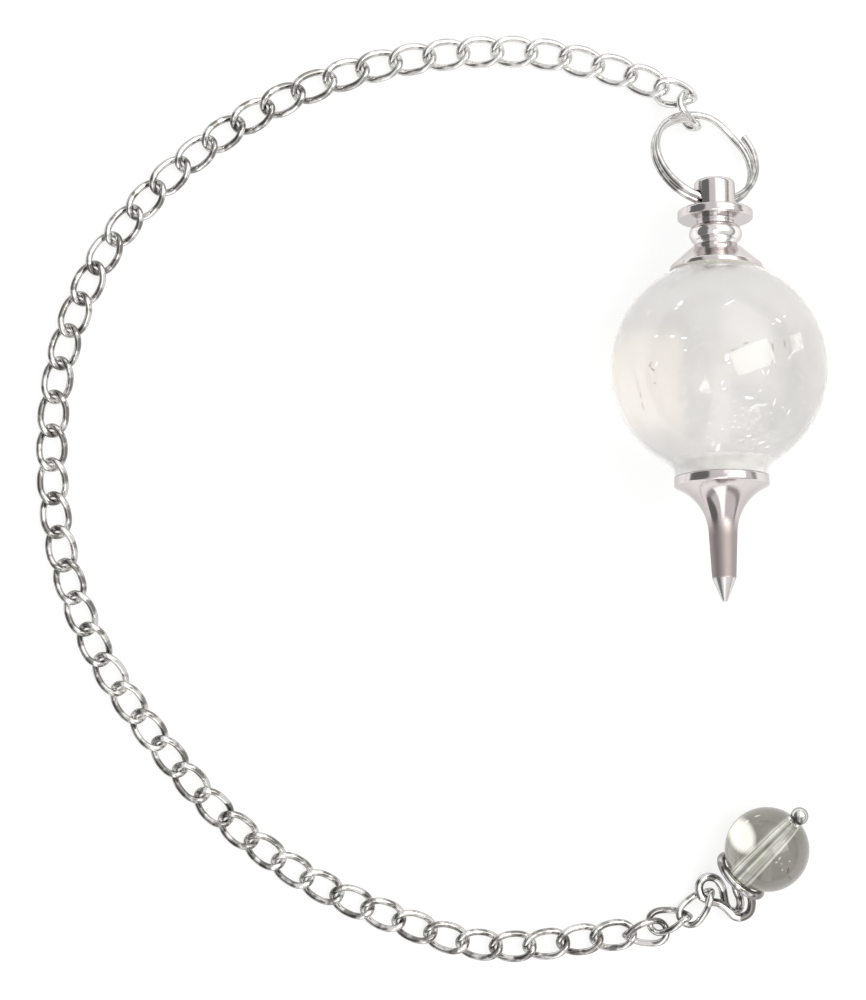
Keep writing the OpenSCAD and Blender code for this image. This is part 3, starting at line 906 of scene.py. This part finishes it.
# %% Flaw materials
def flaw_material(name, dark, light, painted_glow, cover):
    """Stone between two colours, with a painted glow that stands in for the light that doesn't
    reach it through the ball in the render, and partly see-through."""
    material, start = new_material(name)
    place = coordinates(start)
    grain = noise(place, 1.5, detail=4, roughness=0.6)
    tint = blend(step(grain, 0.35, 0.65), dark, light)
    surface(
        start, Base_Color=tint, Roughness=0.4, Emission_Color=tint, Emission_Strength=painted_glow,
        Alpha=cover * step(grain, 0.2, 0.6),
    )
    return material


white_flaw = flaw_material("white_flaw", (0.86, 0.86, 0.85), (1.0, 1.0, 0.99), 0.85, 0.85)
dark_flaw = flaw_material("dark_flaw", (0.30, 0.28, 0.25), (0.50, 0.47, 0.43), 0.2, 0.9)
veil_flaw = flaw_material("veil_flaw", (0.84, 0.83, 0.81), (1.0, 0.99, 0.97), 0.62, 0.4)

# %% [markdown]
# The larger flaws are listed: x and y from the ball's middle, depth, half length, half
# width and turn. With forty corners a flake's outline is round; the veils have three or four, so
# that they look like broken facets. All are shown at three quarters of the size in the list.

# %% Flaw pieces
ROUND = 40


def rounded(rows):
    """The same rows, each with so many corners that its flake is round."""
    return np.column_stack([rows, np.full(len(rows), ROUND)])


bright_rows = [
    [-4.17, 5.8, 0.1, 0.45, 0.28, 60], [-4.55, 5.35, 0.1, 0.25, 0.12, 30],
    [-6.75, 5.15, 0.1, 0.32, 0.07, 50], [-7.0, 4.8, 0.1, 0.26, 0.07, -60],
    [0.15, 5.86, 0.08, 0.7, 0.07, 41], [-0.45, 5.25, 0.08, 0.16, 0.05, 60],
    [4.55, 4.27, 0.1, 0.36, 0.16, -20], [4.05, 3.95, 0.1, 0.2, 0.07, 30],
    [5.2, 4.65, 0.1, 0.26, 0.08, 40], [6.9, 5.4, 0.1, 0.26, 0.08, 0],
    [-6.32, 2.85, 0.1, 0.28, 0.09, 0], [-4.97, 2.84, 0.1, 0.36, 0.12, -5],
    [-3.95, 2.68, 0.1, 0.42, 0.11, -6], [-3.88, 1.59, 0.1, 0.22, 0.08, 0],
    [-0.24, 0.96, 0.1, 0.42, 0.26, 80], [-0.05, 0.45, 0.1, 0.2, 0.1, 20],
    [-0.67, -1.33, 0.1, 0.34, 0.09, 70], [-0.45, -1.85, 0.1, 0.22, 0.07, 20],
    [1.77, -2.66, 0.15, 0.62, 0.16, -10], [-0.71, -7.15, 0.12, 0.62, 0.2, 80],
    [0.46, -5.25, 0.1, 0.28, 0.1, 45], [1.97, -6.07, 0.1, 0.38, 0.1, 20],
    [3.25, -6.71, 0.1, 0.44, 0.12, 10], [3.88, -7.09, 0.1, 0.3, 0.1, 15],
    [4.18, -3.03, 0.1, 0.55, 0.07, 80], [5.58, -3.93, 0.1, 0.38, 0.08, 70],
    [6.26, -5.57, 0.1, 0.24, 0.09, 30], [-6.35, 0.35, 0.1, 0.3, 0.1, 60],
    [3.0, -0.3, 0.1, 0.3, 0.06, 110], [3.5, -0.35, 0.1, 0.3, 0.06, 60],
]
dark_rows = [
    [-6.85, 0.35, 0.06, 0.4, 0.1, 60], [-6.62, -0.12, 0.06, 0.33, 0.1, -20],
    [-8.1, -0.54, 0.06, 0.28, 0.1, 40], [-7.9, -1.35, 0.06, 0.38, 0.1, 100],
    [-7.64, -2.4, 0.06, 0.4, 0.1, 80], [-6.45, -1.34, 0.06, 0.15, 0.1, 0],
    [-7.4, -3.4, 0.06, 0.43, 0.1, 95], [-7.75, -4.6, 0.06, 0.2, 0.1, 30],
    [0.3, 1.62, 0.06, 0.33, 0.08, 25], [1.45, 2.2, 0.06, 0.38, 0.08, 22],
    [3.95, 1.85, 0.06, 0.43, 0.08, 100], [3.85, 0.55, 0.06, 0.33, 0.08, 70],
    [5.05, 2.2, 0.06, 0.5, 0.08, 95], [5.45, 1.3, 0.06, 0.38, 0.08, 40],
]
veil_rows = [
    [6.35, 2.3, 0.2, 1.6, 1.3, 50, 4], [5.6, 1.2, 0.2, 0.8, 0.6, 20, 3],
    [-2.14, -1.69, 0.2, 1.45, 1.05, 88, 3], [2.6, -3.6, 0.3, 1.5, 0.6, 15, 4],
    [1.2, -6.6, 0.3, 0.9, 0.3, 30, 3], [-1.2, -6.9, 0.3, 0.8, 0.3, 75, 3],
]
spray = np.random.default_rng(7)
SPRAY = 60
spray_rows = np.column_stack([
    spray.normal(2.7, 1.7, SPRAY).clip(-3, 6), spray.normal(-5.0, 1.3, SPRAY).clip(-7.3, -1.5),
    spray.uniform(0.08, 0.6, SPRAY), spray.uniform(0.06, 0.28, SPRAY),
    spray.uniform(0.02, 0.05, SPRAY), spray.uniform(0, 180, SPRAY),
])
for name, rows, material in [
    ("bright_flaws", rounded(np.vstack([bright_rows, spray_rows])), white_flaw),
    ("dark_threads", rounded(dark_rows), dark_flaw), ("milky_veils", veil_rows, veil_flaw),
]:
    piece_from(name, flakes(rows, ball_c, BALL_R), material)

# %% [markdown]
# ## The split ring
#
# A split ring is one length of wire wound twice round, so that a hook can be threaded on. Its two
# turns lie side by side and change over in a long soft step, and the upper end springs out a
# little where it has been opened. It is a circle whose centreline steps aside and whose radius
# grows at the end, both by the same smooth rise.

# %% Split ring
RING_ENDS, CHANGE_OVER, SPRUNG_FROM, SPRUNG = (-245, 427), (67, 113), 346, 0.42
s = np.linspace(*RING_ENDS, 420)
aside = 2 * smooth((s - CHANGE_OVER[0]) / (CHANGE_OVER[1] - CHANGE_OVER[0])) - 1
sprung = SPRUNG * smooth((s - SPRUNG_FROM) / (RING_ENDS[1] - SPRUNG_FROM))
ring_path = (
    ring_c + (RING_R + sprung)[:, None] * ring_way(s)
    + (aside * (RING_WIRE + RING_GAP) / 2)[:, None] * ring_n
)
ring_s = lengths(ring_path)
piece_from(
    "sprung_split_ring", wire(ring_path, rounded_ends(ring_s, RING_WIRE / 2, 0.1), 18),
    silver_wire, ["split_ring"],
)

# %% [markdown]
# ## The curb chain
#
# A curb link starts as a flat oval of wire and is twisted a quarter turn, so that the chain lies
# flat. We take the oval as a slightly squared ellipse and turn each point about the link's long
# axis by an angle that runs from one side to the other with the point's place along it. The
# stations crowd a little where the oval bends most. All 55 links are one array. They lie end to
# end along the route, as far apart as a pulled chain allows, and three at each end are lifted and
# turned where they climb onto the ring and the pin's loop.

# %% Links
link_a, link_b = (LINK_L - LINK_WIRE) / 2, (LINK_W - LINK_WIRE) / 2
SQUARED, CROWDING = 0.80, 7.0


def link_lines(rows, stations):
    """Centrelines of links from rows of x, y, z, heading, incline and roll. At angle a the point
    is A c along the link and B s across it, with c and s the cos and sin of a to the power 0.8,
    and the cross part is rolled by the row's roll less half the twist times cos(a)."""
    rows = np.asarray(rows, float)
    k = np.linspace(0, 2 * np.pi, stations, endpoint=False)
    a = k - math.radians(CROWDING) * np.sin(2 * k)
    squared = lambda v: np.sign(v) * np.abs(v) ** SQUARED
    roll = np.radians(rows[:, 5:6] - LINK_TWIST / 2 * np.cos(a))
    x, y = link_a * squared(np.cos(a)), link_b * squared(np.sin(a))
    h, i = np.radians(rows[:, 3]), np.radians(rows[:, 4])
    ex = np.stack([np.cos(h) * np.cos(i), np.sin(h) * np.cos(i), np.sin(i)], axis=-1)
    ey = np.stack([-np.sin(h), np.cos(h), 0 * h], axis=-1)
    ez = np.cross(ex, ey)
    return (
        rows[:, None, :3] + x[None, :, None] * ex[:, None]
        + (y * np.cos(roll))[..., None] * ey[:, None] + (y * np.sin(roll))[..., None] * ez[:, None]
    )


def link_grids(paths, sides):
    """Round sections all along closed centrelines. The section's first direction points away
    from the link's middle, levelled against the wire's own direction."""
    t = unit(np.roll(paths, -1, axis=1) - np.roll(paths, 1, axis=1))
    out = paths - paths.mean(axis=1, keepdims=True)
    n = unit(out - (out * t).sum(-1, keepdims=True) * t)
    a = np.linspace(0, 2 * np.pi, sides, endpoint=False)[:, None]
    across = np.cos(a) * n[:, :, None] + np.sin(a) * np.cross(t, n)[:, :, None]
    return paths[:, :, None] + LINK_SHOWN / 2 * across


# %% [markdown]
# The route is the chain's open C, as shares of its width and length. The rows of the six end links
# are x, y and z in link lengths, then heading, incline and roll in degrees. Those by the ring
# count from the hook, and those by the bead from the route's end.

# %% Chain
ROUTE_FROM = np.array([-1.2457, 0.8717])
CHAIN_ROUTE = [
    [0, 0], [0.1639, -0.0253], [0.337, -0.0217], [0.5046, 0.0024], [0.663, 0.0507],
    [0.8015, 0.1194], [0.9126, 0.2087], [0.98, 0.3172], [1, 0.4318], [0.9818, 0.5501],
    [0.9217, 0.6598], [0.8251, 0.7563], [0.7067, 0.848], [0.5647, 0.9192], [0.4026, 0.9686],
    [0.2332, 1], [-0.0018, 0.9843],
]
RING_LINKS = [
    [-0.1109, 0.0935, 0.4543, 113.4, 39.8, 86.8],
    [-0.3717, 0.463, 0.3478, 160, -27.3, 18],
    [-0.9239, 0.7283, 0.1913, 158, -2.8, 10],
]
BEAD_LINKS = [
    [0.3283, 0.0152, 0.2261, 5.2, -3.8, 27],
    [0.813, 0.2891, 0.2609, 12.7, 19, -50],
    [1.3848, 0.587, 0.3239, 46.9, 1.3, -44.9],
]
route = spline(LINK_L * ROUTE_FROM - np.array([CURVE_W, CURVE_L]) * np.array(CHAIN_ROUTE), 24)
route_to = np.array([*route[-1], 0])
pitch = 2 * link_a - LINK_WIRE - 0.15
run_count = math.ceil(lengths(route)[-1] / pitch)
joints = at_lengths(route, lengths(route)[-1] * np.arange(run_count + 1) / run_count)
mid, way = (joints[1:] + joints[:-1]) / 2, np.diff(joints, axis=0)
flat_z = link_lines([[0] * 6], 16)[..., 2].max() + LINK_WIRE / 2
run_links = np.column_stack([
    mid, np.full(run_count, flat_z), np.degrees(np.arctan2(way[:, 1], way[:, 0])),
    np.zeros(run_count), np.zeros(run_count),
])


def placed_rows(rows, start_at):
    """Link rows whose x, y and z are in link lengths from a point, as rows in millimetres."""
    rows = np.array(rows, float)
    rows[:, :3] = LINK_L * rows[:, :3] + start_at
    return rows


ring_links, bead_links = placed_rows(RING_LINKS, [0, 0, 0]), placed_rows(BEAD_LINKS, route_to)
all_links = np.vstack([ring_links, run_links, bead_links])
all_links[:, :3] += shift
piece_from(
    "laid_curb_chain", link_grids(link_lines(all_links, 56), 14),
    silver_wire, ["chain"], looped=True,
)
print(len(all_links), "links,", round(lengths(route)[-1]), "mm of run")

# %% [markdown]
# ## The drilled bead and its pin
#
# The bead is a ball with a bore, so its section is a closed loop and the turned surface has no
# poles. The head pin goes through it: a wire with a ball head. Behind the bead the wire makes the
# loop that holds the chain, and its end is wrapped back round itself against the bead. The loop's
# points are in wire thicknesses from where the chain hooks on. The head is made with the wire, by
# letting the radius follow a circle at its start.

# %% Pin path
LOOP_FROM = np.array([1.5652, 0.7391, 0])
LOOP_NECK = [-4.44, 1.13, 3.2]
PIN_LOOPS = [
    [-3.8, 1.3, 2.5], [-3.1, 2.2, 1.69], [-2.6, 3.2, 1], [-1.9, 3.9, 0.62], [-1.2, 4, 0.52],
    [-0.7, 3.4, 0.52], [-0.9, 2.5, 0.52], [-1.6, 1.6, 0.56], [-2.2, 0.8, 0.87],
    [-2.6, -0.4, 1.19], [-2.2, -1.4, 1.44], [-1.4, -1.8, 1.62], [-0.5, -1.5, 1.7],
    [0.1, -0.6, 1.77], [-0.1, 0.5, 1.77], [-0.6, 1.5, 1.77], [-0.7, 2.6, 1.81],
    [-0.6, 3.9, 1.81], [-1.1, 4.7, 1.81], [-2.1, 5, 1.88], [-3.1, 4.5, 2.12], [-3.8, 3.6, 2.62],
]
loop_hook = route_to + LINK_L * LOOP_FROM + shift
cp, sp = turn(-130)
ahead, aside_way = np.array([cp, sp, 0]), np.array([-sp, cp, 0])
loop_axes = PIN_WIRE * np.stack([ahead, aside_way, [0, 0, 1]])
neck = loop_hook + np.array(LOOP_NECK) @ loop_axes
neck_from = BEAD_R + PIN_WIRE / 4
pin_tilt = math.asin((BEAD_R - neck[2]) / neck_from)
pin_axis = math.cos(pin_tilt) * ahead - np.array([0, 0, math.sin(pin_tilt)])
pin_up = math.sin(pin_tilt) * ahead + np.array([0, 0, math.cos(pin_tilt)])
bead_c = neck - neck_from * pin_axis
BORE_R = PIN_WIRE / 2 + PIN_PLAY
head_clear = PIN_HEAD / 2 + 0.05
head_from = math.sqrt(BEAD_R**2 - BORE_R**2) + math.sqrt(head_clear**2 - BORE_R**2)

print("the pin leans", round(math.degrees(pin_tilt), 1), "degrees at", np.round(bead_c, 2))

# %% [markdown]
# The end of the wire goes nearly twice round the pin against the bead, and its turns widen, so
# they climb over each other. They rest on the bead: a turn of radius r stands sqrt(R^2 - r^2)
# from the bead's middle, with R the bead's radius and half a wire more.

# %% Wraps
wrap_a = np.arange(30, 601, 30)
wrap_r = PIN_WIRE * (1.22 + 1.9 * smooth((wrap_a - 150) / 250))[:, None]
wrap_off = BEAD_R + PIN_WIRE / 2 + PIN_PLAY
wrap_turn = np.radians(wrap_a)[:, None]
wrap = (
    bead_c + np.sqrt(wrap_off**2 - wrap_r**2) * pin_axis
    + wrap_r * (np.cos(wrap_turn) * aside_way + np.sin(wrap_turn) * pin_up)
)
knots = np.vstack([
    neck - PIN_WIRE * np.array([[1], [0.5], [0]]) * pin_axis,
    loop_hook + np.array(PIN_LOOPS) @ loop_axes, wrap,
])
head_end = bead_c - (head_from + PIN_HEAD / 2) * pin_axis
pin_route = np.vstack([head_end, spline(knots, 12)])
print("pin wire,", round(lengths(pin_route)[-1], 1), "mm long")

# %% Pin
HEAD_STATIONS, PIN_STATION, TAIL = 24, 0.13, 0.1
pin_length = lengths(pin_route)[-1]
head_s = PIN_HEAD / 2 * (1 - np.cos(np.linspace(0, np.pi, HEAD_STATIONS)))
pin_s = np.r_[head_s, np.arange(PIN_HEAD + PIN_STATION, pin_length - 2 * TAIL, PIN_STATION),
              pin_length - TAIL * np.array([1, 0.6, 0.3, 0.1, 0])]
pin_line = at_lengths(pin_route, pin_s)
head_r = np.sqrt(np.clip((PIN_HEAD / 2) ** 2 - (pin_s - PIN_HEAD / 2) ** 2, 0, None))
body_r = np.where(pin_s > PIN_HEAD / 2, PIN_WIRE / 2, 0)
pin_r = np.maximum(head_r, body_r)
tail = np.clip(1 - (pin_length - pin_s) / TAIL, 0, 1)
pin_r = np.where(tail > 0, PIN_WIRE / 2 * np.sqrt(1 - tail**2), pin_r)
piece_from(
    "looped_head_pin", wire(pin_line, pin_r, 20), silver_wire, ["head_pin"],
)

# %% [markdown]
# The bead's section is the arc from one mouth of the bore to the other, and the bore's straight
# line back. It goes round the pin's own axis, so bead and pin stay true to each other.

# %% Bead
bore_half = math.sqrt(BEAD_R**2 - BORE_SHOWN**2)
mouth = math.degrees(math.asin(BORE_SHOWN / BEAD_R))
outside = arc([0, 0], BEAD_R, -90 + mouth, 90 - mouth, 97)
bore = np.column_stack([np.full(31, BORE_SHOWN), np.linspace(bore_half, -bore_half, 33)[1:-1]])
bead_grid = turned(np.vstack([outside, bore]), 192)
piece_from(
    "drilled_bead", on_axis(bead_grid, bead_c, pin_axis, aside_way),
    smoky_quartz, ["end_bead"], looped=True,
)

# %% [markdown]
# The bead has flaws as the ball has, but fewer: two dark cracks beside the bore. It also has a few
# painted glints, glowing flakes where the window catches on the bore's mouth and on the stone's
# upper edge.

# %% Flaws and painted glints of the bead
bead_threads = [
    [1.62, -1.4, 0.05, 0.62, 0.11, 98], [1.85, -2.25, 0.05, 0.55, 0.11, 128],
    [2.35, -0.2, 0.05, 0.14, 0.05, 60],
]
# painted highlights: glowing glints of the window on the bead
painted_bead_glints = [
    [0.75, -0.25, 0.05, 0.24, 0.12, 70], [0.45, -0.6, 0.05, 0.2, 0.1, 20],
    [0.95, -0.75, 0.05, 0.12, 0.1, 0], [1.75, -0.55, 0.05, 0.1, 0.09, 0],
    [1.6, -1.1, 0.05, 0.12, 0.08, 80], [1.05, -1.35, 0.05, 0.14, 0.08, 80],
    [-1.1, 3.45, 0.05, 0.4, 0.12, 15], [-2.05, 2.95, 0.05, 0.26, 0.16, 35],
]
for name, rows, material in [
    ("bead_threads", bead_threads, dark_flaw), ("painted_bead_glints", painted_bead_glints, white_flaw),
]:
    piece_from(name, flakes(rounded(rows), bead_c, BEAD_R), material)
